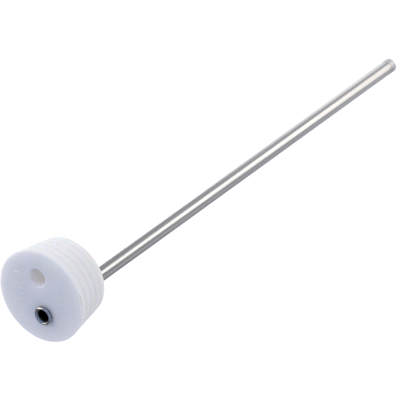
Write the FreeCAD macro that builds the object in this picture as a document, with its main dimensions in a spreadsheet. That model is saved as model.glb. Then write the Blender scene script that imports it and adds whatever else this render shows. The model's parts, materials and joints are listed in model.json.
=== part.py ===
"""A stopper thermowell for a fermenting vessel.

A tapered two-hole silicone stopper closes the vessel's neck. One hole takes an airlock. Through the
other runs a long steel tube, closed at its far end, that holds a temperature probe in the liquid.
Millimetres. Z is the stopper's axis with its large face up, X runs through both holes with the
airlock hole on +X, and the origin is on the axis at the stopper's mid-height, where the neck grips.
"""

import FreeCAD, Part
import os

import Sketcher

doc = FreeCAD.newDocument("stopper_thermowell")

# ---------------------------------------------------------------- driving dimensions
sheet = doc.addObject("Spreadsheet::Sheet", "dims")
dimensions = [
    ("stopper_height", 25.0, "height of the stopper"),
    ("top_diameter", 50.0, "large face, number 10 stopper"),
    ("bottom_diameter", 42.0, "small face, number 10 stopper"),
    ("large_rim_rounding", 0.5, "soft edge left by the mould round the large face"),
    ("small_rim_rounding", 1.5, "rounder edge of the small face, which enters the neck first"),
    ("hole_rounding", 0.9, "soft edge of the airlock's hole in both faces"),
    ("ring_count", 4, "shallow ring grooves round the side"),
    ("ring_depth", 0.30, "depth of a ring groove"),
    ("ring_cutter", 0.6, "section radius of a ring groove"),
    ("hole_offset", 10.1, "from the stopper's axis to each hole's axis"),
    ("airlock_bore", 9.5, "hole for an airlock's stem, 3/8 inch"),
    ("mark_height", 0.25, "how far the moulded marks stand up"),
    ("bar_length", 3.0, "a moulded bar, along Y"),
    ("bar_width", 1.1, "a moulded bar, along X"),
    ("bar_count", 11, "bars in the row"),
    ("bar_row_span", 30.0, "from the first bar's middle to the last one's"),
    ("bar_row_y", 12.2, "from the stopper's axis to the row of bars"),
    ("pip_diameter", 2.2, "a round moulded pip"),
    ("pip_count", 3, "pips in the row"),
    ("pip_row_span", 8.0, "from the first pip's middle to the last one's"),
    ("pip_row_y", -12.0, "from the stopper's axis to the row of pips"),
    ("tube_outside", 7.14, "outside diameter of the tube, 9/32 inch"),
    ("tube_wall", 0.355, "wall thickness of the tube"),
    ("tube_clearance", 0.04, "radial running clearance in the stopper"),
    ("lip_outside", 10.0, "outside diameter of the rolled lip"),
    ("lip_section", 1.8, "thickness of the rolled lip, along Z"),
    ("lip_gap", 0.05, "between the lip and the stopper's face"),
    ("mouth_rounding", 0.5, "radius of the lip's crest where it turns down into the tube"),
    ("well_length", 292.1, "from the stopper's large face to the closed tip, 11.5 inch"),
    ("plug_length", 4.0, "length of the plug that closes the tube"),
    ("tip_rounding", 1.2, "radius of the tip's ground edge"),
]
for row, (alias, value, meaning) in enumerate(dimensions, start=1):
    sheet.set(f"A{row}", meaning)
    sheet.set(f"B{row}", str(value))
    sheet.setAlias(f"B{row}", alias)
doc.recompute()

# heights that several sub-parts share, as expressions of the sheet
FACE = "dims.stopper_height / 2"
LIP_UNDERSIDE = f"({FACE} + dims.lip_gap)"
LIP_TOP = f"({LIP_UNDERSIDE} + dims.lip_section)"
TIP = f"({FACE} - dims.well_length)"
TUBE_RADIUS = "dims.tube_outside / 2"
TUBE_INNER = f"({TUBE_RADIUS} - dims.tube_wall)"
WELD_ROOT = f"({TIP} + dims.plug_length)"
WELD_LOW = f"({WELD_ROOT} - dims.tube_wall)"
WELD_HIGH = f"({WELD_ROOT} + dims.tube_wall)"
TAPER = "((dims.top_diameter - dims.bottom_diameter) / 2 / dims.stopper_height)"


# ---------------------------------------------------------------- drawing helpers
def value_of(expression):
    """The number an expression of the sheet gives."""
    return float(sheet.evalExpression(expression))


def new_body(label, offset_x="0"):
    """A body on its own placement, moved along X by an expression."""
    body = doc.addObject("PartDesign::Body", label)
    body.Label = label
    body.setExpression(".Placement.Base.x", offset_x)
    return body


def origin_feature(body, role):
    """A plane or an axis of the body's own origin."""
    for feature in body.Origin.OriginFeatures:
        if feature.Role == role:
            return feature
    raise ValueError(f"no {role} in {body.Label}")


def new_sketch(body, name, role, height="0"):
    """A sketch on one of the body's origin planes, raised by an expression."""
    sketch = body.newObject("Sketcher::SketchObject", name)
    sketch.AttachmentSupport = [(origin_feature(body, role), "")]
    sketch.MapMode = "FlatFace"
    sketch.setExpression(".AttachmentOffset.Base.z", height)
    return sketch


def pin_point(sketch, geometry, position, name, across, up):
    """Dimension a point of the sketch from its origin with two expressions."""
    places = (("DistanceX", "x", across), ("DistanceY", "y", up))
    for kind, suffix, expression in places:
        label = f"{name}_{suffix}"
        distance = value_of(expression)
        index = sketch.addConstraint(Sketcher.Constraint(kind, -1, 1, geometry, position, distance))
        sketch.renameConstraint(index, label)
        sketch.setExpression(f"Constraints.{label}", expression)


def draw_circle(sketch, name, across, up, radius):
    """A circle with its centre and its radius bound to the sheet."""
    centre = FreeCAD.Vector(value_of(across), value_of(up), 0)
    circle = Part.Circle(centre, FreeCAD.Vector(0, 0, 1), value_of(radius))
    geometry = sketch.addGeometry(circle, False)
    pin_point(sketch, geometry, 3, name, across, up)
    index = sketch.addConstraint(Sketcher.Constraint("Radius", geometry, value_of(radius)))
    sketch.renameConstraint(index, f"{name}_radius")
    sketch.setExpression(f"Constraints.{name}_radius", radius)


def draw_arc(start, end, centre):
    """A circular edge that runs anticlockwise about a centre."""
    angles = []
    for point in (start, end):
        angle = FreeCAD.Vector(1, 0, 0).getAngle(point - centre)
        angles.append(-angle if point.y < centre.y else angle)
    circle = Part.Circle(centre, FreeCAD.Vector(0, 0, 1), (start - centre).Length)
    return Part.ArcOfCircle(circle, *angles)


def draw_outline(sketch, corners, arc_centres=None):
    """A closed outline, drawn anticlockwise through corners given as expressions.

    arc_centres gives, for the edge that leaves a corner, the expressions of its centre. Every other
    edge is straight.
    """
    arc_centres = arc_centres or {}
    points = [FreeCAD.Vector(value_of(across), value_of(up), 0) for across, up in corners]
    edges = []
    for corner, start in enumerate(points):
        end = points[(corner + 1) % len(points)]
        if corner in arc_centres:
            across, up = arc_centres[corner]
            shape = draw_arc(start, end, FreeCAD.Vector(value_of(across), value_of(up), 0))
        else:
            shape = Part.LineSegment(start, end)
        edges.append(sketch.addGeometry(shape, False))
    for corner, edge in enumerate(edges):
        sketch.addConstraint(Sketcher.Constraint("Coincident", edges[corner - 1], 2, edge, 1))
        pin_point(sketch, edge, 1, f"corner_{corner}", *corners[corner])


def revolve(body, kind, name, sketch):
    """Turn a sketch of the XZ plane all the way round the body's Z axis."""
    feature = body.newObject(f"PartDesign::{kind}", name)
    feature.Profile = sketch
    feature.ReferenceAxis = (sketch, ["V_Axis"])
    feature.Angle = 360.0
    sketch.Visibility = False
    return feature


def edges_at(body, wanted):
    """Names of the body's circular edges whose radius and height are wanted."""
    tolerance = 0.01
    names = []
    for index, edge in enumerate(body.Shape.Edges, start=1):
        if not isinstance(edge.Curve, Part.Circle):
            continue
        centre = body.Placement.inverse().multVec(edge.Curve.Center)
        for radius, height in wanted:
            off = max(abs(edge.Curve.Radius - radius), abs(centre.z - height))
            if off < tolerance:
                names.append(f"Edge{index}")
    return names


def round_edges(body, name, wanted, radius):
    """Fillet the circular edges of the body that stand at the wanted radii and heights."""
    doc.recompute()
    solid = body.Tip
    edges = edges_at(body, wanted)
    feature = body.newObject("PartDesign::Fillet", name)
    feature.Base = (solid, edges)
    feature.setExpression("Radius", radius)
    body.Tip = feature
    doc.recompute()


# ---------------------------------------------------------------- stopper
def build_stopper():
    """The moulded silicone stopper: a cone with ring grooves, two holes and raised marks."""
    body = new_body("stopper")

    profile = new_sketch(body, "cone_profile", "XZ_Plane")
    corners = [
        ("0", f"-{FACE}"),
        ("dims.bottom_diameter / 2", f"-{FACE}"),
        ("dims.top_diameter / 2", FACE),
        ("0", FACE),
    ]
    draw_outline(profile, corners)
    revolve(body, "Revolution", "cone", profile)

    face = value_of(FACE)
    rims = (
        ("large", value_of("dims.top_diameter / 2"), face),
        ("small", value_of("dims.bottom_diameter / 2"), -face),
    )
    for name, radius, height in rims:
        round_edges(body, f"{name}_rim", [(radius, height)], f"dims.{name}_rim_rounding")

    # the ring grooves stand an equal step apart, following the taper
    ring_step = "(dims.stopper_height / (dims.ring_count + 1))"
    for number in range(1, int(value_of("dims.ring_count")) + 1):
        depth = f"({number} * {ring_step})"
        wall = f"(dims.top_diameter / 2 - {TAPER} * {depth})"
        section = new_sketch(body, f"ring_section_{number}", "XZ_Plane")
        across = f"{wall} + dims.ring_cutter - dims.ring_depth"
        draw_circle(section, "ring", across, f"{FACE} - {depth}", "dims.ring_cutter")
        revolve(body, "Groove", f"ring_groove_{number}", section)

    holes = new_sketch(body, "hole_circles", "XY_Plane")
    draw_circle(holes, "airlock", "dims.hole_offset", "0", "dims.airlock_bore / 2")
    draw_circle(holes, "well", "-dims.hole_offset", "0", f"{TUBE_RADIUS} + dims.tube_clearance")
    pocket = body.newObject("PartDesign::Pocket", "holes")
    pocket.Profile = holes
    pocket.Type = "ThroughAll"
    pocket.Midplane = True
    holes.Visibility = False
    airlock = value_of("dims.airlock_bore / 2")
    mouths = [(airlock, face), (airlock, -face)]
    round_edges(body, "hole_rounding", mouths, "dims.hole_rounding")

    marks = (("bar", draw_bar), ("pip", draw_pip))
    for name, draw_mark in marks:
        sketch = new_sketch(body, f"{name}_outline", "XY_Plane", FACE)
        draw_mark(sketch)
        pad = body.newObject("PartDesign::Pad", f"first_{name}")
        pad.Profile = sketch
        pad.setExpression("Length", "dims.mark_height")
        sketch.Visibility = False
        doc.recompute()
        repeat = body.newObject("PartDesign::LinearPattern", f"{name}_row")
        repeat.Originals = [pad]
        repeat.Direction = (origin_feature(body, "X_Axis"), [""])
        repeat.setExpression("Length", f"dims.{name}_row_span")
        repeat.setExpression("Occurrences", f"dims.{name}_count")
        body.Tip = repeat
        doc.recompute()
    return body


def draw_bar(sketch):
    """The first moulded bar, at the -X end of its row."""
    left = "-dims.bar_row_span / 2 - dims.bar_width / 2"
    right = "-dims.bar_row_span / 2 + dims.bar_width / 2"
    low = "dims.bar_row_y - dims.bar_length / 2"
    high = "dims.bar_row_y + dims.bar_length / 2"
    draw_outline(sketch, [(left, low), (right, low), (right, high), (left, high)])


def draw_pip(sketch):
    """The first moulded pip, at the -X end of its row."""
    draw_circle(sketch, "pip", "-dims.pip_row_span / 2", "dims.pip_row_y", "dims.pip_diameter / 2")


# ---------------------------------------------------------------- thermowell
def build_tube():
    """The thin-walled tube: a lip rolled at its open end, the other end bevelled for the weld.

    Inside the lip a wide flare leaves the bore at the face's height and meets the small crest
    without a corner.
    """
    body = new_body("thermowell_tube", "-dims.hole_offset")
    profile = new_sketch(body, "wall_profile", "XZ_Plane")
    bead = "(dims.lip_outside / 2 - dims.lip_section / 2)"
    crest_z = f"({LIP_TOP} - dims.mouth_rounding)"
    reach = f"({bead} - {TUBE_INNER})"
    rise = f"({crest_z} - {FACE})"
    flare = f"(({reach}^2 + {rise}^2 - dims.mouth_rounding^2) / (2 * ({reach} - dims.mouth_rounding)))"
    share = f"({flare} / ({flare} - dims.mouth_rounding))"
    corners = [
        (TUBE_INNER, WELD_ROOT),
        (TUBE_RADIUS, WELD_HIGH),
        (TUBE_RADIUS, LIP_UNDERSIDE),
        (bead, LIP_UNDERSIDE),
        (bead, LIP_TOP),
        (f"{TUBE_INNER} + {flare} + {share} * ({reach} - {flare})", f"{FACE} + {share} * {rise}"),
        (TUBE_INNER, FACE),
    ]
    arc_centres = {
        3: (bead, f"{LIP_TOP} - dims.lip_section / 2"),
        4: (bead, crest_z),
        5: (f"{TUBE_INNER} + {flare}", FACE),
    }
    draw_outline(profile, corners, arc_centres)
    revolve(body, "Revolution", "wall", profile)
    return body


def build_plug():
    """The solid plug that closes the far end: bevelled for the weld, its tip ground round."""
    body = new_body("end_plug", "-dims.hole_offset")
    profile = new_sketch(body, "plug_profile", "XZ_Plane")
    corners = [
        ("0", TIP),
        (f"{TUBE_RADIUS} - dims.tip_rounding", TIP),
        (TUBE_RADIUS, f"{TIP} + dims.tip_rounding"),
        (TUBE_RADIUS, WELD_LOW),
        (TUBE_INNER, WELD_ROOT),
        ("0", WELD_ROOT),
    ]
    arc_centres = {
        1: (f"{TUBE_RADIUS} - dims.tip_rounding", f"{TIP} + dims.tip_rounding"),
    }
    draw_outline(profile, corners, arc_centres)
    revolve(body, "Revolution", "plug", profile)
    return body


def build_weld():
    """The weld run that fills the groove between the two bevels, ground flush with both."""
    body = new_body("weld_bead", "-dims.hole_offset")
    profile = new_sketch(body, "weld_profile", "XZ_Plane")
    corners = [
        (TUBE_INNER, WELD_ROOT),
        (TUBE_RADIUS, WELD_LOW),
        (TUBE_RADIUS, WELD_HIGH),
    ]
    draw_outline(profile, corners)
    revolve(body, "Revolution", "weld", profile)
    return body


sub_parts = [build_stopper(), build_tube(), build_plug(), build_weld()]
doc.recompute()

# ---------------------------------------------------------------- checks and files
for item in doc.Objects:
    if "Invalid" in item.State or "Error" in item.State:
        raise RuntimeError(f"{item.Label} failed: {item.State}")

os.makedirs("parts", exist_ok=True)
for body in sub_parts:
    shape = body.Shape
    if shape.isNull() or not shape.isValid() or len(shape.Solids) != 1:
        raise RuntimeError(f"{body.Label} is not one valid solid")
    box = shape.BoundBox
    extent = f"z {box.ZMin:.2f} to {box.ZMax:.2f}"
    print(f"{body.Label}: {shape.Volume:.1f} mm3, {extent}, {len(shape.Faces)} faces")
    shape.exportStep(f"parts/{body.Label}.step")
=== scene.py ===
"""Looks of the stopper thermowell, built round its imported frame. Metres throughout."""

import json
import math

import bmesh
import bpy
from mathutils import Matrix, Vector


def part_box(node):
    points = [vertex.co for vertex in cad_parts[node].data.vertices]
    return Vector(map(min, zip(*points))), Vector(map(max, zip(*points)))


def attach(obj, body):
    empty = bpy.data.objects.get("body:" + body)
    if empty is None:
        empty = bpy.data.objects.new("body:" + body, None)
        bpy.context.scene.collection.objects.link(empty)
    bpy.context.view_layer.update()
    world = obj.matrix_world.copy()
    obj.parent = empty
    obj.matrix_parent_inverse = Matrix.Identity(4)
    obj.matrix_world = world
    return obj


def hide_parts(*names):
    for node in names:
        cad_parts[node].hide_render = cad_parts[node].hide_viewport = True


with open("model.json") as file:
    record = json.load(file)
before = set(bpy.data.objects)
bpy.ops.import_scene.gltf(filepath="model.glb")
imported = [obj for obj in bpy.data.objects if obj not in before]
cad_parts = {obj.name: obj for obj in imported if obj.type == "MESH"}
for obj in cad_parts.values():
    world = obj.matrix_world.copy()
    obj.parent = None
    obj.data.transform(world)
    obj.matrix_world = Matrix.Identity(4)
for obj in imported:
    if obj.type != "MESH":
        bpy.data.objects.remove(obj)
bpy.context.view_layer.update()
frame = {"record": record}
mm = 0.001

# ---------------------------------------------------------------- stopper
# One moulding of white, food-grade silicone: a cone that wedges in the vessel's neck, with four
# shallow ring grooves for grip, two through holes, and plain raised marks on its large face.
# The mould splits just under the large face and leaves a hair of flash round the side there.
plug_low, plug_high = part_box("end_plug")
mounts = {mount["name"]: mount for mount in frame["record"]["mounts"]}

stopper_height = 25.0 * mm
face_z = stopper_height / 2
top_radius = 25.0 * mm
bottom_radius = 21.0 * mm
tube_x = (plug_low.x + plug_high.x) / 2
tube_radius = (plug_high.x - plug_low.x) / 2
airlock_x = mounts["airlock_bore"]["pos_m"][0]
airlock_radius = mounts["airlock_bore"]["dims"]["r_mm"] * mm
airlock_edge = 0.9 * mm
well_clearance = 0.04 * mm
well_edge = 0.12 * mm
flash_depth = 0.85 * mm
bar_count = 11
bar_step = 3.0 * mm
bar_width = 1.1 * mm
bar_length = 3.0 * mm
bar_row_y = 12.2 * mm
pip_count = 3
pip_step = 4.0 * mm
pip_width = 2.2 * mm
pip_row_y = -12.0 * mm
mark_sides = 28


def arc_stations(centre_radius, centre_height, radius, first, last, steps):
    """Stations along a circular arc of a section, between two angles given in degrees."""
    stations = []
    for step in range(steps + 1):
        angle = math.radians(first + (last - first) * step / steps)
        across = centre_radius + radius * math.cos(angle)
        stations.append((across, centre_height + radius * math.sin(angle)))
    return stations


def deselect_all():
    """Nothing selected, in object mode."""
    if bpy.context.object and bpy.context.object.mode != "OBJECT":
        bpy.ops.object.mode_set(mode="OBJECT")
    bpy.ops.object.select_all(action="DESELECT")


def start_ring(radius, height, across=0.0, sides=192):
    """Add a ring of edges about an upright axis, alone selected and in edit mode."""
    if bpy.context.mode == "EDIT_MESH":
        bpy.ops.mesh.select_all(action="DESELECT")
    place = (across, 0.0, height)
    bpy.ops.mesh.primitive_circle_add(vertices=sides, radius=radius, location=place)
    if bpy.context.mode != "EDIT_MESH":
        bpy.context.object.location = place
        bpy.ops.object.transform_apply()
        bpy.ops.object.mode_set(mode="EDIT")
        bpy.ops.mesh.select_mode(type="VERT")
        bpy.ops.mesh.select_all(action="SELECT")


def raise_wall(profile, across=0.0):
    """Extrude the selected ring through a profile of (radius, height) stations."""
    radius, height = profile[0]
    for next_radius, next_height in profile[1:]:
        rise = {"value": (0.0, 0.0, next_height - height)}
        bpy.ops.mesh.extrude_region_move(TRANSFORM_OT_translate=rise)
        scale = next_radius / radius
        centre = (across, 0.0, next_height)
        bpy.ops.transform.resize(value=(scale, scale, 1.0), center_override=centre)
        radius, height = next_radius, next_height


def finish_piece(name, smooth_angle=35.0):
    """Close up the edited mesh, point its faces out and shade it smooth below an angle."""
    bpy.ops.mesh.select_all(action="SELECT")
    bpy.ops.mesh.remove_doubles(threshold=0.001 * mm)
    bpy.ops.mesh.normals_make_consistent(inside=False)
    bpy.ops.object.mode_set(mode="OBJECT")
    bpy.ops.object.shade_smooth_by_angle(angle=math.radians(smooth_angle))
    piece = bpy.context.object
    piece.name = name
    piece.data.name = name
    piece.data.materials.clear()
    return piece


def side_radius(depth):
    """Radius of the tapered side at a depth below the large face."""
    return top_radius + (bottom_radius - top_radius) * depth / stopper_height


def groove_stations(depth):
    """Stations across a ring groove with softly rounded shoulders, from its lower edge up."""
    half_width = 0.66 * mm
    groove_depth = 0.30 * mm
    stations = []
    for step in range(-7, 8):
        offset = step / 7 * half_width
        dip = groove_depth * (0.5 + 0.5 * math.cos(math.pi * step / 7))
        stations.append((side_radius(depth - offset) - dip, face_z - depth + offset))
    return stations


def stopper_side():
    """The whole side from the small face to the large one, edges, grooves and flash included."""
    support = 0.25 * mm
    small_edge = 1.5 * mm
    large_edge = 0.5 * mm
    flash_half = 0.11 * mm
    flash_height = 0.07 * mm
    small_middle = side_radius(stopper_height - small_edge) - small_edge
    stations = [(small_middle - support, -face_z)]
    stations.extend(arc_stations(small_middle, -face_z + small_edge, small_edge, -90, 0, 12))
    ring_step = stopper_height / 5
    for ring in (4, 3, 2, 1):
        stations.extend(groove_stations(ring * ring_step))
    for offset, proud in ((flash_half, 0.0), (0.0, flash_height), (-flash_half, 0.0)):
        depth = flash_depth + offset
        stations.append((side_radius(depth) + proud, face_z - depth))
    large_middle = side_radius(large_edge) - large_edge
    stations.extend(arc_stations(large_middle, face_z - large_edge, large_edge, 0, 90, 8))
    stations.append((large_middle - support, face_z))
    return stations


def hole_wall(radius, edge):
    """A hole's wall from face to face, its mouths rounded and each with a flat margin."""
    margin = 0.2 * mm
    middle = radius + edge
    stations = [(middle + margin, -face_z)]
    stations.extend(arc_stations(middle, -face_z + edge, edge, 270, 180, 10))
    stations.extend(arc_stations(middle, face_z - edge, edge, 180, 90, 10))
    stations.append((middle + margin, face_z))
    return stations


def fill_face(height):
    """Fill the flat face between all the open loops that lie at one height."""
    bpy.ops.mesh.select_mode(type="EDGE")
    bpy.ops.mesh.select_all(action="DESELECT")
    mesh = bmesh.from_edit_mesh(bpy.context.object.data)
    for edge in mesh.edges:
        level = all(abs(vertex.co.z - height) < 0.001 * mm for vertex in edge.verts)
        edge.select_set(level and edge.is_boundary)
    bmesh.update_edit_mesh(bpy.context.object.data)
    bpy.ops.mesh.fill()


def mark_base(across, along, width, length):
    """Outline a moulded mark on the large face as a flat face, round or round-ended."""
    middle = (across, along, face_z)
    bpy.ops.mesh.select_all(action="DESELECT")
    bpy.ops.mesh.primitive_circle_add(
        vertices=mark_sides, radius=width / 2, fill_type="NGON", location=middle
    )
    bpy.ops.transform.rotate(
        value=math.pi / mark_sides, orient_axis="Z", center_override=middle
    )
    mesh = bmesh.from_edit_mesh(bpy.context.object.data)
    stretch = (length - width) / 2
    for vertex in mesh.verts:
        if vertex.select:
            vertex.co.y += stretch if vertex.co.y > along else -stretch
    bmesh.update_edit_mesh(bpy.context.object.data)


def raise_marks(places):
    """Raise every marked outline in steps that give it a drafted side and a soft top edge."""
    steps = ((0.03, 0.10), (0.04, 0.09), (0.07, 0.05), (0.10, 0.01))
    bpy.ops.mesh.select_mode(type="FACE")
    bpy.ops.mesh.select_all(action="DESELECT")
    mesh = bmesh.from_edit_mesh(bpy.context.object.data)
    for face in mesh.faces:
        centre = face.calc_center_median()
        on_face = abs(centre.z - face_z) < 0.001 * mm and len(face.verts) == mark_sides
        face.select_set(on_face and any((centre.xy - place).length < 0.3 * mm for place in places))
    bmesh.update_edit_mesh(bpy.context.object.data)
    for inward, upward in steps:
        bpy.ops.mesh.inset(thickness=inward * mm, depth=upward * mm, use_individual=True)


deselect_all()
side = stopper_side()
start_ring(side[0][0], side[0][1])
raise_wall(side)
for hole_x, hole_radius, hole_edge in (
    (airlock_x, airlock_radius, airlock_edge),
    (tube_x, tube_radius + well_clearance, well_edge),
):
    wall = hole_wall(hole_radius, hole_edge)
    start_ring(wall[0][0], wall[0][1], hole_x, sides=96)
    raise_wall(wall, hole_x)
mark_places = []
for count, step, row_y, width, length in (
    (bar_count, bar_step, bar_row_y, bar_width, bar_length),
    (pip_count, pip_step, pip_row_y, pip_width, pip_width),
):
    for number in range(count):
        mark_x = (number - (count - 1) / 2) * step
        mark_base(mark_x, row_y, width, length)
        mark_places.append(Vector((mark_x, row_y)))
fill_face(face_z)
fill_face(-face_z)
raise_marks(mark_places)
stopper = finish_piece("silicone_stopper")


def ranged(nodes, links, value, low, high, from_low=0.3, from_high=0.7):
    """A value stretched from one range to another, returned as a socket."""
    stretch = nodes.new("ShaderNodeMapRange")
    stretch.inputs["From Min"].default_value = from_low
    stretch.inputs["From Max"].default_value = from_high
    stretch.inputs["To Min"].default_value = low
    stretch.inputs["To Max"].default_value = high
    links.new(value, stretch.inputs["Value"])
    return stretch.outputs["Result"]


def grain_group():
    """Fine moulded grain, slow clouds and sparse specks, as values over the piece."""
    group = bpy.data.node_groups.new("moulded_grain", "ShaderNodeTree")
    group.interface.new_socket("Vector", in_out="INPUT", socket_type="NodeSocketVector")
    for name in ("Grain", "Clouds", "Specks"):
        group.interface.new_socket(name, in_out="OUTPUT", socket_type="NodeSocketFloat")
    nodes = group.nodes
    links = group.links
    entry = nodes.new("NodeGroupInput")
    result = nodes.new("NodeGroupOutput")
    for name, scale, detail in (("Grain", 2600.0, 3.0), ("Clouds", 95.0, 4.0)):
        noise = nodes.new("ShaderNodeTexNoise")
        noise.inputs["Scale"].default_value = scale
        noise.inputs["Detail"].default_value = detail
        links.new(entry.outputs["Vector"], noise.inputs["Vector"])
        links.new(noise.outputs["Fac"], result.inputs[name])
    cells = nodes.new("ShaderNodeTexVoronoi")
    cells.inputs["Scale"].default_value = 260.0
    links.new(entry.outputs["Vector"], cells.inputs["Vector"])
    specks = ranged(nodes, links, cells.outputs["Distance"], 0.0, 1.0, 0.05, 0.02)
    links.new(specks, result.inputs["Specks"])
    return group


def reckoned(nodes, links, operation, first, second):
    """One sum of two values, each a socket or a number, returned as a socket."""
    node = nodes.new("ShaderNodeMath")
    node.operation = operation
    for socket, value in ((0, first), (1, second)):
        if isinstance(value, float):
            node.inputs[socket].default_value = value
        else:
            links.new(value, node.inputs[socket])
    return node.outputs["Value"]


def distance_from(nodes, links, vector, centre, scale):
    """How far a place is from a centre once each axis is scaled, returned as a socket."""
    shifted = nodes.new("ShaderNodeVectorMath")
    shifted.operation = "SUBTRACT"
    links.new(vector, shifted.inputs[0])
    shifted.inputs[1].default_value = centre
    scaled = nodes.new("ShaderNodeVectorMath")
    scaled.operation = "MULTIPLY"
    links.new(shifted.outputs["Vector"], scaled.inputs[0])
    scaled.inputs[1].default_value = scale
    reach = nodes.new("ShaderNodeVectorMath")
    reach.operation = "LENGTH"
    links.new(scaled.outputs["Vector"], reach.inputs[0])
    return reach.outputs["Value"]


def stopper_places_group():
    """A dark brownish mark under the rim, the grooves' floors, which take painted shade, and the airlock
    hole's wall, which takes a painted glow.
    """
    group = bpy.data.node_groups.new("stopper_places", "ShaderNodeTree")
    group.interface.new_socket("Vector", in_out="INPUT", socket_type="NodeSocketVector")
    for name in ("RimMark", "Groove", "Hole"):
        group.interface.new_socket(name, in_out="OUTPUT", socket_type="NodeSocketFloat")
    nodes = group.nodes
    links = group.links
    entry = nodes.new("NodeGroupInput")
    result = nodes.new("NodeGroupOutput")
    vector = entry.outputs["Vector"]
    parts = nodes.new("ShaderNodeSeparateXYZ")
    links.new(vector, parts.inputs["Vector"])
    depth = reckoned(nodes, links, "SUBTRACT", face_z, parts.outputs["Z"])

    # a dark brownish mark, long and low, on the line where the mould splits
    rim_mark_centre = (0.7 * mm, -top_radius, face_z - flash_depth)
    rim_mark_scale = (1 / (5.0 * mm), 1 / (1.2 * mm), 1 / (0.22 * mm))
    from_rim_mark = distance_from(nodes, links, vector, rim_mark_centre, rim_mark_scale)
    links.new(ranged(nodes, links, from_rim_mark, 1.0, 0.0, 0.55, 1.0), result.inputs["RimMark"])

    # the grooves stand a fifth of the height apart, with none at either end; their floors take a painted
    # shade
    to_groove = reckoned(nodes, links, "PINGPONG", depth, stopper_height / 10)
    floor_mask = ranged(nodes, links, to_groove, 1.0, 0.0, 0.10 * mm, 0.60 * mm)
    under_rim = ranged(nodes, links, depth, 0.0, 1.0, 1.5 * mm, 2.5 * mm)
    above_base = ranged(nodes, links, depth, 1.0, 0.0, 22.5 * mm, 23.5 * mm)
    between = reckoned(nodes, links, "MULTIPLY", under_rim, above_base)
    links.new(reckoned(nodes, links, "MULTIPLY", floor_mask, between), result.inputs["Groove"])

    # the hole's wall, from a little below its mouth, which takes a painted glow
    from_hole = distance_from(nodes, links, vector, (airlock_x, 0.0, 0.0), (1.0, 1.0, 0.0))
    wall_mask = ranged(nodes, links, from_hole, 1.0, 0.0, airlock_radius, airlock_radius + 0.5 * mm)
    inside = ranged(nodes, links, depth, 0.0, 1.0, 0.3 * mm, 4.0 * mm)
    links.new(reckoned(nodes, links, "MULTIPLY", wall_mask, inside), result.inputs["Hole"])
    return group


def new_material(name):
    """An empty node material with its Principled shader and its object coordinates."""
    material = bpy.data.materials.new(name)
    material.use_nodes = True
    nodes = material.node_tree.nodes
    place = nodes.new("ShaderNodeTexCoord")
    return material, nodes, material.node_tree.links, nodes["Principled BSDF"], place


def mixed_colour(nodes, links, factor, first, second):
    """A colour mixed between two by a value, returned as a socket."""
    mix = nodes.new("ShaderNodeMix")
    mix.data_type = "RGBA"
    links.new(factor, mix.inputs["Factor"])
    for socket, colour in ((6, first), (7, second)):
        if isinstance(colour, tuple):
            mix.inputs[socket].default_value = colour
        else:
            links.new(colour, mix.inputs[socket])
    return mix.outputs[2]


def bumped(nodes, links, height, distance, strength=1.0, normal=None):
    """A bump from a height, over another normal where one is given, returned as a socket."""
    bump = nodes.new("ShaderNodeBump")
    bump.inputs["Distance"].default_value = distance
    bump.inputs["Strength"].default_value = strength
    links.new(height, bump.inputs["Height"])
    if normal is not None:
        links.new(normal, bump.inputs["Normal"])
    return bump.outputs["Normal"]


silicone, nodes, links, shader, place = new_material("white_silicone")
grain = nodes.new("ShaderNodeGroup")
grain.node_tree = grain_group()
links.new(place.outputs["Object"], grain.inputs["Vector"])
cloudy = ranged(nodes, links, grain.outputs["Clouds"], 0.0, 1.0)
milk = mixed_colour(nodes, links, cloudy, (0.855, 0.86, 0.875, 1), (0.895, 0.895, 0.90, 1))
speckled = mixed_colour(nodes, links, grain.outputs["Specks"], milk, (0.70, 0.70, 0.72, 1))
places = nodes.new("ShaderNodeGroup")
places.node_tree = stopper_places_group()
links.new(place.outputs["Object"], places.inputs["Vector"])
# painted shade: the grooves' floors are painted a little darker, as shade falls in them
groove_shaded = mixed_colour(nodes, links, places.outputs["Groove"], speckled, (0.82, 0.82, 0.83, 1))
rim_marked = mixed_colour(nodes, links, places.outputs["RimMark"], groove_shaded, (0.36, 0.29, 0.29, 1))
links.new(rim_marked, shader.inputs["Base Color"])
# painted glow: the airlock hole's wall glows a faint warm colour, as light come through the silicone would
painted_glow = mixed_colour(nodes, links, places.outputs["Hole"], (0, 0, 0, 1), (1.0, 0.86, 0.62, 1))
links.new(painted_glow, shader.inputs["Emission Color"])
shader.inputs["Emission Strength"].default_value = 0.05
links.new(ranged(nodes, links, grain.outputs["Clouds"], 0.40, 0.54), shader.inputs["Roughness"])
shader.inputs["IOR"].default_value = 1.41
shader.inputs["Subsurface Weight"].default_value = 1.0
shader.inputs["Subsurface Radius"].default_value = (1.0, 0.84, 0.70)
shader.inputs["Subsurface Scale"].default_value = 7.0 * mm
waves = bumped(nodes, links, grain.outputs["Clouds"], 0.10 * mm)
links.new(bumped(nodes, links, grain.outputs["Grain"], 0.02 * mm, 0.7, waves), shader.inputs["Normal"])
stopper.data.materials.append(silicone)
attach(stopper, "stopper")
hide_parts("stopper")

# ---------------------------------------------------------------- thermowell tube
# Bright drawn stainless tube, thin in the wall. Its open end is flared and rolled over into a
# bead that stops it on the stopper's face; the other end is bevelled and welded to a plug.
# Drawing leaves fine lengthwise lines, and the weld's grinding dulls the last few millimetres.
tube_low, tube_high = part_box("thermowell_tube")
weld_low, weld_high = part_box("weld_bead")
lip_top = tube_high.z
lip_radius = tube_high.x - tube_x
bead_radius = 0.9 * mm
bead_middle = lip_radius - bead_radius
bead_height = lip_top - bead_radius
bore_radius = mounts["probe_well"]["dims"]["r_mm"] * mm
weld_root = (weld_low.z + weld_high.z) / 2


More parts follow.
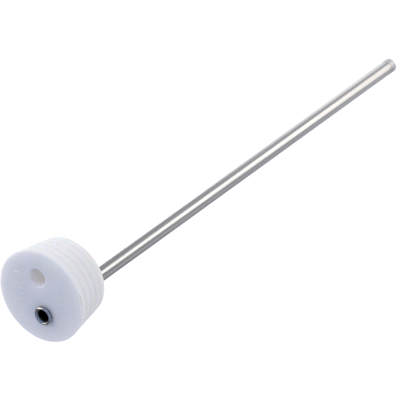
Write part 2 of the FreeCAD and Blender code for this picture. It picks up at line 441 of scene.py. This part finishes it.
def lip_inside():
    """Down the inside of the lip: a small crest, then a wide flare that meets the bore."""
    crest = 0.5 * mm
    rise = lip_top - crest - face_z
    reach = bead_middle - bore_radius
    flare = (reach**2 + rise**2 - crest**2) / (2 * (reach - crest))
    meeting = math.degrees(math.atan2(rise, reach - flare))
    stations = arc_stations(bead_middle, lip_top - crest, crest, 90, meeting, 8)
    stations.extend(arc_stations(bore_radius + flare, face_z, flare, meeting, 180, 12)[1:])
    return stations


def tube_wall():
    """Round the tube's section once: up the outside, over the lip and down the inside."""
    underside = lip_top - 2 * bead_radius
    fold = 0.06 * mm
    lengths = 24
    stations = [(bore_radius, weld_root), (tube_radius, weld_high.z)]
    for step in range(1, lengths + 1):
        share = step / lengths
        stations.append((tube_radius, weld_high.z + (underside - fold - weld_high.z) * share))
    stations.append((tube_radius + fold, underside))
    stations.extend(arc_stations(bead_middle, bead_height, bead_radius, -90, 90, 24))
    stations.extend(lip_inside()[1:])
    for share in (0.25, 0.5, 0.75, 1.0):
        stations.append((bore_radius, face_z + (weld_root - face_z) * share))
    return stations


deselect_all()
wall = tube_wall()
start_ring(wall[0][0], wall[0][1], tube_x, sides=160)
raise_wall(wall, tube_x)
tube = finish_piece("drawn_tube", 40.0)


def metal_lines_group():
    """Fine lines drawn out along one direction, with slow smudges, as values over the piece."""
    group = bpy.data.node_groups.new("metal_lines", "ShaderNodeTree")
    group.interface.new_socket("Vector", in_out="INPUT", socket_type="NodeSocketVector")
    group.interface.new_socket("Stretch", in_out="INPUT", socket_type="NodeSocketVector")
    for name in ("Lines", "Smudges"):
        group.interface.new_socket(name, in_out="OUTPUT", socket_type="NodeSocketFloat")
    nodes = group.nodes
    links = group.links
    entry = nodes.new("NodeGroupInput")
    result = nodes.new("NodeGroupOutput")
    drawn = nodes.new("ShaderNodeVectorMath")
    drawn.operation = "MULTIPLY"
    links.new(entry.outputs["Vector"], drawn.inputs[0])
    links.new(entry.outputs["Stretch"], drawn.inputs[1])
    for name, scale, detail, source in (
        ("Lines", 1.0, 4.0, drawn.outputs["Vector"]),
        ("Smudges", 60.0, 5.0, entry.outputs["Vector"]),
    ):
        noise = nodes.new("ShaderNodeTexNoise")
        noise.inputs["Scale"].default_value = scale
        noise.inputs["Detail"].default_value = detail
        links.new(source, noise.inputs["Vector"])
        links.new(noise.outputs["Fac"], result.inputs[name])
    return group


metal_lines = metal_lines_group()


def steel_material(name, bright, dull, stretch, smoothest, roughest, line_depth):
    """Stainless steel with lines along the direction that stretch leaves long."""
    material, nodes, links, shader, place = new_material(name)
    lines = nodes.new("ShaderNodeGroup")
    lines.node_tree = metal_lines
    links.new(place.outputs["Object"], lines.inputs["Vector"])
    lines.inputs["Stretch"].default_value = stretch
    streak = ranged(nodes, links, lines.outputs["Lines"], 0.0, 1.0)
    colour = mixed_colour(nodes, links, streak, dull, bright)
    smudged = ranged(nodes, links, lines.outputs["Smudges"], 0.0, 0.35, 0.5, 0.8)
    colour = mixed_colour(nodes, links, smudged, colour, dull)
    links.new(colour, shader.inputs["Base Color"])
    shader.inputs["Metallic"].default_value = 1.0
    links.new(bumped(nodes, links, lines.outputs["Lines"], line_depth, 0.5), shader.inputs["Normal"])
    rough = ranged(nodes, links, lines.outputs["Smudges"], smoothest, roughest)
    return material, nodes, links, shader, place, rough


def wear_and_shade_places_group():
    """Where the tube is ground by the weld, its flare and bore, and the crevice under the lip; the crevice
    and the bore take painted shade.
    """
    group = bpy.data.node_groups.new("tube_wear_and_shade", "ShaderNodeTree")
    group.interface.new_socket("Vector", in_out="INPUT", socket_type="NodeSocketVector")
    for name in ("Ground", "Flare", "Bore", "Crevice"):
        group.interface.new_socket(name, in_out="OUTPUT", socket_type="NodeSocketFloat")
    nodes = group.nodes
    links = group.links
    entry = nodes.new("NodeGroupInput")
    result = nodes.new("NodeGroupOutput")
    parts = nodes.new("ShaderNodeSeparateXYZ")
    links.new(entry.outputs["Vector"], parts.inputs["Vector"])
    height = parts.outputs["Z"]
    radius = distance_from(nodes, links, entry.outputs["Vector"], (tube_x, 0.0, 0.0), (1.0, 1.0, 0.0))
    ground_length = 3.5 * mm
    ground = ranged(nodes, links, height, 1.0, 0.0, weld_root, weld_root + ground_length)
    links.new(ground, result.inputs["Ground"])

    # inside this radius, which widens upwards through the lip, a place is on the flare or the bore
    limit = ranged(nodes, links, height, 3.42 * mm, 3.85 * mm, face_z, face_z + 0.7 * mm)
    margin = reckoned(nodes, links, "SUBTRACT", limit, radius)
    inside = ranged(nodes, links, margin, 0.0, 1.0, 0.0, 0.12 * mm)
    links.new(inside, result.inputs["Flare"])
    # the bore below the lip is painted near black as shade
    deep = ranged(nodes, links, height, 1.0, 0.0, face_z - 0.2 * mm, face_z + 0.5 * mm)
    links.new(reckoned(nodes, links, "MULTIPLY", inside, deep), result.inputs["Bore"])

    # the crevice is the bead's lower half, which takes painted shade
    low = ranged(nodes, links, height, 1.0, 0.0, bead_height, bead_height + 0.4 * mm)
    outer = ranged(nodes, links, radius, 0.0, 1.0, tube_radius + 0.2 * mm, bead_middle)
    links.new(reckoned(nodes, links, "MULTIPLY", low, outer), result.inputs["Crevice"])
    return group


lengthwise = (2600.0, 2600.0, 14.0)
steel, nodes, links, shader, place, rough = steel_material(
    "drawn_stainless", (0.70, 0.69, 0.68, 1), (0.60, 0.595, 0.60, 1), lengthwise, 0.15, 0.22, 0.004 * mm
)
wear_and_shade = nodes.new("ShaderNodeGroup")
wear_and_shade.node_tree = wear_and_shade_places_group()
links.new(place.outputs["Object"], wear_and_shade.inputs["Vector"])
for name, amount in (("Ground", 0.2), ("Flare", 0.16), ("Crevice", 0.15)):
    extra = reckoned(nodes, links, "MULTIPLY", wear_and_shade.outputs[name], amount)
    rough = reckoned(nodes, links, "ADD", rough, extra)
links.new(rough, shader.inputs["Roughness"])
colour = shader.inputs["Base Color"].links[0].from_socket
# painted shade: the crevice under the bead is painted dark grey and the bore near black
colour = mixed_colour(nodes, links, wear_and_shade.outputs["Crevice"], colour, (0.14, 0.135, 0.15, 1))
colour = mixed_colour(nodes, links, wear_and_shade.outputs["Bore"], colour, (0.02, 0.02, 0.025, 1))
links.new(colour, shader.inputs["Base Color"])
tube.data.materials.append(steel)
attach(tube, "thermowell")
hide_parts("thermowell_tube")

# ---------------------------------------------------------------- end plug
# A solid stainless plug butts on the tube's far end, its edge bevelled for the weld. The tip is
# ground round with a fine belt, which leaves a satin face with lines round it.


def plug_section():
    """The plug from the middle of its tip, round the ground edge and up to the bevel's root."""
    rounding = 1.2 * mm
    flat = tube_radius - rounding
    stations = [(flat * share, plug_low.z) for share in (0.05, 0.5)]
    stations.extend(arc_stations(flat, plug_low.z + rounding, rounding, -90, 0, 14))
    stations.append((tube_radius, weld_low.z))
    stations.append((bore_radius, weld_root))
    stations.append((bore_radius * 0.5, weld_root))
    return stations


deselect_all()
section = plug_section()
start_ring(section[0][0], section[0][1], tube_x, sides=160)
bpy.ops.mesh.edge_face_add()
bpy.ops.mesh.select_mode(type="VERT")
raise_wall(section, tube_x)
bpy.ops.mesh.edge_face_add()
plug = finish_piece("ground_plug", 40.0)
roundwise = (60.0, 60.0, 5200.0)
ground_steel, nodes, links, shader, place, rough = steel_material(
    "ground_stainless", (0.82, 0.81, 0.81, 1), (0.74, 0.74, 0.75, 1), roundwise, 0.46, 0.56, 0.004 * mm
)
links.new(rough, shader.inputs["Roughness"])
plug.data.materials.append(ground_steel)
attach(plug, "thermowell")
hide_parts("end_plug")

# ---------------------------------------------------------------- weld bead
# A run of weld fills the groove between the bevels of the tube and the plug. It is ground flush
# with both, all but a hair of crown, and stays a shade darker than they are.


def weld_section():
    """The weld's three-cornered ring section, with a hair of crown outside."""
    crown = 0.025 * mm
    width = weld_high.z - weld_low.z
    stations = [(bore_radius, weld_root)]
    for step in range(9):
        share = step / 8
        across = tube_radius + crown * math.sin(math.pi * share)
        stations.append((across, weld_low.z + width * share))
    stations.append((bore_radius, weld_root))
    return stations


deselect_all()
section = weld_section()
start_ring(section[0][0], section[0][1], tube_x, sides=160)
raise_wall(section, tube_x)
weld = finish_piece("ground_weld", 40.0)
weld_steel, nodes, links, shader, place, rough = steel_material(
    "weld_stainless", (0.66, 0.64, 0.62, 1), (0.56, 0.54, 0.53, 1), roundwise, 0.36, 0.50, 0.010 * mm
)
links.new(rough, shader.inputs["Roughness"])
weld.data.materials.append(weld_steel)
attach(weld, "thermowell")
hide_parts("weld_bead")

# ---------------------------------------------------------------- camera
# It looks at the large face and along the tube from above, rolled so that the tube runs up and to
# the right, and from far away, as a long lens on a product stand would.
forward = Vector((-0.401, 0.608, -0.686)).normalized()
right = Vector((-0.183, -0.787, -0.590))
right = (right - forward * right.dot(forward)).normalized()
up = right.cross(forward)
face_centre = Vector((0.0, 0.0, face_z))
aim = face_centre + Vector((28.2, -56.2, -66.25)) * mm
frame_width = 196.0 * mm
deselect_all()
bpy.ops.object.camera_add()
camera = bpy.context.object
camera.data.sensor_width = 36.0
camera.data.lens = 1500.0
distance = frame_width * camera.data.lens / camera.data.sensor_width
camera.data.clip_start = 1.0
camera.data.clip_end = 40.0
camera.rotation_mode = "QUATERNION"
camera.rotation_quaternion = Matrix((right, up, -forward)).transposed().to_quaternion()
camera.location = aim - forward * distance
bpy.context.scene.camera = camera

# ---------------------------------------------------------------- floor and light
# A plain pale floor below the tip, even soft light from all round, a large soft light to one side,
# and a few plain reflectors that only a polished surface shows, as round a real product stand.
view_settings = bpy.context.scene.view_settings
view_settings.view_transform = "Standard"
view_settings.look = "None"
floor_gap = 60.0 * mm
deselect_all()
bpy.ops.mesh.primitive_plane_add(size=40.0, location=(0.0, 0.0, plug_low.z - floor_gap))
floor = bpy.context.object
floor.name = "floor"
floor.visible_diffuse = False
floor.visible_glossy = False
pale, nodes, links, shader, place = new_material("pale_floor")
shader.inputs["Base Color"].default_value = (0.92, 0.92, 0.92, 1)
shader.inputs["Roughness"].default_value = 0.8
shader.inputs["Emission Color"].default_value = (1, 1, 1, 1)
shader.inputs["Emission Strength"].default_value = 0.6
floor.data.materials.append(pale)

toward_camera = Vector((-forward.x, -forward.y, 0)).normalized()
key_side = Vector((-toward_camera.y, toward_camera.x, 0))


def stand_point(near, side, level):
    """The point that stands so far towards the camera, towards the key light's side and up."""
    return toward_camera * near + key_side * side + Vector((0.0, 0.0, level))


def only_for_reflections(thing):
    """Hide a thing from everything but the light that a surface mirrors."""
    thing.visible_camera = False
    thing.visible_diffuse = False
    thing.visible_shadow = False
    thing.visible_transmission = False


def reflector(name, points, colour, strength):
    """A flat glowing card between given corners, which only reflections show."""
    mesh = bpy.data.meshes.new(name)
    mesh.from_pydata(points, [], [range(len(points))])
    card = bpy.data.objects.new(name, mesh)
    bpy.context.scene.collection.objects.link(card)
    material = bpy.data.materials.new(name)
    material.use_nodes = True
    tree = material.node_tree
    tree.nodes.clear()
    glow = tree.nodes.new("ShaderNodeEmission")
    glow.inputs["Color"].default_value = colour
    glow.inputs["Strength"].default_value = strength
    output = tree.nodes.new("ShaderNodeOutputMaterial")
    tree.links.new(glow.outputs["Emission"], output.inputs["Surface"])
    mesh.materials.append(material)
    only_for_reflections(card)


# each card lies flat below the tip: its corners towards the camera and to the key light's side
card_level = -0.49
cards = (
    (
        "white_card",
        [(0.27, 0.135), (0.27, -0.19), (0.30, -0.19), (0.42, -0.13), (0.56, -0.10), (0.56, 0.32)],
        (1.0, 0.98, 0.95, 1),
        1.72,
    ),
    ("cream_card", [(0.13, 0.07), (0.12, -0.19), (0.27, -0.19), (0.27, 0.135)], (1.0, 0.96, 0.92, 1), 1.38),
    (
        "pale_card",
        [(0.02, 0.02), (0.06, 0.235), (0.0, 0.33), (-0.14, 0.35), (-0.42, 0.40), (-0.42, 0.0)],
        (0.98, 0.985, 1.0, 1),
        1.12,
    ),
    ("dim_card", [(0.30, 0.20), (0.20, 0.28), (0.38, 0.52), (0.54, 0.34)], (0.93, 0.945, 1.0, 1), 0.60),
    ("far_card", [(0.04, -0.36), (0.24, -0.36), (0.26, -0.62), (0.0, -0.62)], (0.93, 0.945, 1.0, 1), 0.60),
    ("under_card", [(0.12, 0.0), (0.0, -0.13), (-0.20, 0.0), (0.0, 0.13)], (0.98, 0.98, 1.0, 1), 1.3),
)
for name, outline, colour, strength in cards:
    points = [stand_point(near, side, card_level) for near, side in outline]
    reflector(name, points, colour, strength)
softbox = [(-0.60, 0.80, 0.10), (-0.40, 0.90, 0.10), (-0.06, 0.56, 0.82), (-0.55, 0.16, 0.82)]
points = [stand_point(*corner) for corner in softbox]
reflector("softbox", points, (1.0, 0.94, 0.86, 1), 2.2)

# a wide grey disc just under the cards, darker towards its edge
disc_place = (0.0, 0.0, card_level - 0.01)
deselect_all()
bpy.ops.mesh.primitive_circle_add(vertices=96, radius=1.0, fill_type="NGON", location=disc_place)
grey_card = bpy.context.object
grey_card.name = "grey_card"
grey, nodes, links, shader, place = new_material("grey_card")
nodes.remove(shader)
reach = nodes.new("ShaderNodeVectorMath")
reach.operation = "LENGTH"
links.new(place.outputs["Object"], reach.inputs[0])
fading = ranged(nodes, links, reach.outputs["Value"], 0.68, 0.36, 0.18, 0.50)
glow = nodes.new("ShaderNodeEmission")
glow.inputs["Color"].default_value = (0.925, 0.94, 1.0, 1)
links.new(fading, glow.inputs["Strength"])
links.new(glow.outputs["Emission"], nodes["Material Output"].inputs["Surface"])
grey_card.data.materials.append(grey)
only_for_reflections(grey_card)

bpy.ops.object.light_add(type="AREA")
key = bpy.context.object
key.name = "key_light"
key.data.shape = "SQUARE"
key.data.size = 0.8
key.data.energy = 1.5
key.visible_glossy = False
key.location = key_side * 0.7 + Vector((0.0, 0.0, 0.35))
key.rotation_mode = "QUATERNION"
key.rotation_quaternion = key.location.to_track_quat("Z", "Y")

world = bpy.data.worlds.new("even_light")
bpy.context.scene.world = world
world.use_nodes = True
nodes = world.node_tree.nodes
links = world.node_tree.links
nodes.clear()
direction = nodes.new("ShaderNodeTexCoord").outputs["Generated"]

# what lights a matt surface: warm and bright from below, cool and dim from above
parts = nodes.new("ShaderNodeSeparateXYZ")
links.new(direction, parts.inputs["Vector"])
upward = ranged(nodes, links, parts.outputs["Z"], 0.0, 1.0, -1.0, 1.0)
sky = mixed_colour(nodes, links, upward, (1.255, 1.24, 1.20, 1), (0.32, 0.36, 0.515, 1))
slope = nodes.new("ShaderNodeVectorMath")
slope.operation = "DOT_PRODUCT"
links.new(direction, slope.inputs[0])
slope.inputs[1].default_value = key_side * 0.12 + toward_camera * 0.03
sloped = nodes.new("ShaderNodeVectorMath")
sloped.operation = "ADD"
links.new(sky, sloped.inputs[0])
links.new(slope.outputs["Value"], sloped.inputs[1])
soft = nodes.new("ShaderNodeBackground")
links.new(sloped.outputs["Vector"], soft.inputs["Color"])

# what a polished surface mirrors: dark patches of a room above, pale panels below
polish = nodes.new("ShaderNodeBackground")
room = nodes.new("ShaderNodeTexNoise")
room.inputs["Scale"].default_value = 2.6
room.inputs["Detail"].default_value = 2.0
links.new(direction, room.inputs["Vector"])
patches = ranged(nodes, links, room.outputs["Fac"], 0.75, 0.0, 0.44, 0.52)
blue_side = nodes.new("ShaderNodeVectorMath")
blue_side.operation = "DOT_PRODUCT"
links.new(direction, blue_side.inputs[0])
blue_side.inputs[1].default_value = toward_camera * 0.66 + Vector((0.0, 0.0, 0.75))
blueness = ranged(nodes, links, blue_side.outputs["Value"], 0.0, 1.0, -0.15, 0.45)
room_light = mixed_colour(nodes, links, blueness, (0.13, 0.12, 0.125, 1), (0.34, 0.44, 0.70, 1))
upper_room = mixed_colour(nodes, links, patches, room_light, (0.03, 0.03, 0.04, 1))
around = nodes.new("ShaderNodeMapping")
around.inputs["Scale"].default_value = (1.6, 1.6, 0.0)
links.new(direction, around.inputs["Vector"])
panels = nodes.new("ShaderNodeTexNoise")
panels.inputs["Scale"].default_value = 1.5
panels.inputs["Detail"].default_value = 0.0
links.new(around.outputs["Vector"], panels.inputs["Vector"])
bright_panels = ranged(nodes, links, panels.outputs["Fac"], 0.0, 1.0, 0.42, 0.58)
lower_room = mixed_colour(nodes, links, bright_panels, (0.32, 0.32, 0.34, 1), (1.25, 1.22, 1.18, 1))
below = ranged(nodes, links, parts.outputs["Z"], 1.0, 0.0, -0.12, 0.0)
shine = mixed_colour(nodes, links, below, upper_room, lower_room)
links.new(shine, polish.inputs["Color"])

# what stands behind the object: plain white
clear = nodes.new("ShaderNodeBackground")
clear.inputs["Color"].default_value = (1.0, 1.0, 1.0, 1)
clear.inputs["Strength"].default_value = 1.1
ray = nodes.new("ShaderNodeLightPath")
glossy_mix = nodes.new("ShaderNodeMixShader")
links.new(ray.outputs["Is Glossy Ray"], glossy_mix.inputs["Fac"])
links.new(soft.outputs["Background"], glossy_mix.inputs[1])
links.new(polish.outputs["Background"], glossy_mix.inputs[2])
camera_mix = nodes.new("ShaderNodeMixShader")
links.new(ray.outputs["Is Camera Ray"], camera_mix.inputs["Fac"])
links.new(glossy_mix.outputs["Shader"], camera_mix.inputs[1])
links.new(clear.outputs["Background"], camera_mix.inputs[2])
output = nodes.new("ShaderNodeOutputWorld")
links.new(camera_mix.outputs["Shader"], output.inputs["Surface"])
